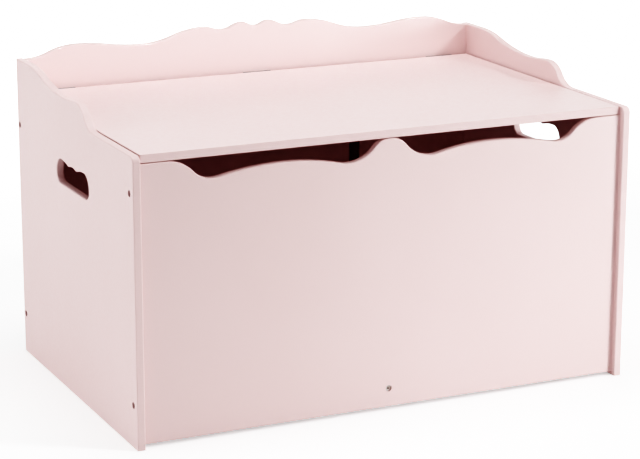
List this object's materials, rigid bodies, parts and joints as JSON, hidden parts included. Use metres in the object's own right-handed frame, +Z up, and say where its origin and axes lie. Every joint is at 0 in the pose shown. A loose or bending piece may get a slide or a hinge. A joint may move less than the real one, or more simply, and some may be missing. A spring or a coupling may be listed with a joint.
{
  "type": "toy box",
  "caption": "Painted board toy box with scrolled sides, scalloped back, side hand holes, front finger gaps and a flat hinged seat lid held by friction supports.",
  "frame": {"origin": "on the floor below the middle of the box", "axes": "+Z up, +Y to the back, +X to the right of someone facing the box's front"},
  "size_m": [0.84, 0.536, 0.5329],
  "materials": {
    "painted_board": "satin paint",
    "inside_board": "satin paint",
    "dark_screw": "dark plated",
    "plated_steel": "zinc plated",
    "black_steel": "black",
    "nylon": "plain"
  },
  "bodies": {
    "box": {"back_bottom_screw": "dark_screw", "back_panel": "painted_board", "bottom_panel": "inside_board", "centre_hinge_back_leaf": "plated_steel", "centre_hinge_pin": "plated_steel", "front_bottom_screw": "dark_screw", "front_panel": "painted_board", "hinge_back_screws": "plated_steel", "left_hinge_back_leaf": "plated_steel", "left_hinge_pin": "plated_steel", "left_side_panel": "painted_board", "left_side_screws": "dark_screw", "left_support_back_arm": "black_steel", "left_support_pin": "plated_steel", "right_hinge_back_leaf": "plated_steel", "right_hinge_pin": "plated_steel", "right_side_panel": "painted_board", "right_side_screws": "dark_screw", "right_support_back_arm": "black_steel", "right_support_pin": "plated_steel", "support_back_screws": "black_steel"},
    "lid": {"centre_hinge_lid_leaf": "plated_steel", "hinge_lid_screws": "plated_steel", "left_hinge_lid_leaf": "plated_steel", "left_support_lid_arm": "black_steel", "left_support_sleeve": "nylon", "lid_panel": "painted_board", "right_hinge_lid_leaf": "plated_steel", "right_support_lid_arm": "black_steel", "right_support_sleeve": "nylon", "support_lid_screws": "black_steel"}
  },
  "joints": [
    {"name": "lid_hinge", "type": "hinge", "parent": "box", "child": "lid", "pos_m": [0, 0.2478, 0.444], "axis": [-1, 0, 0], "range_deg": [0, 90]}
  ]
}
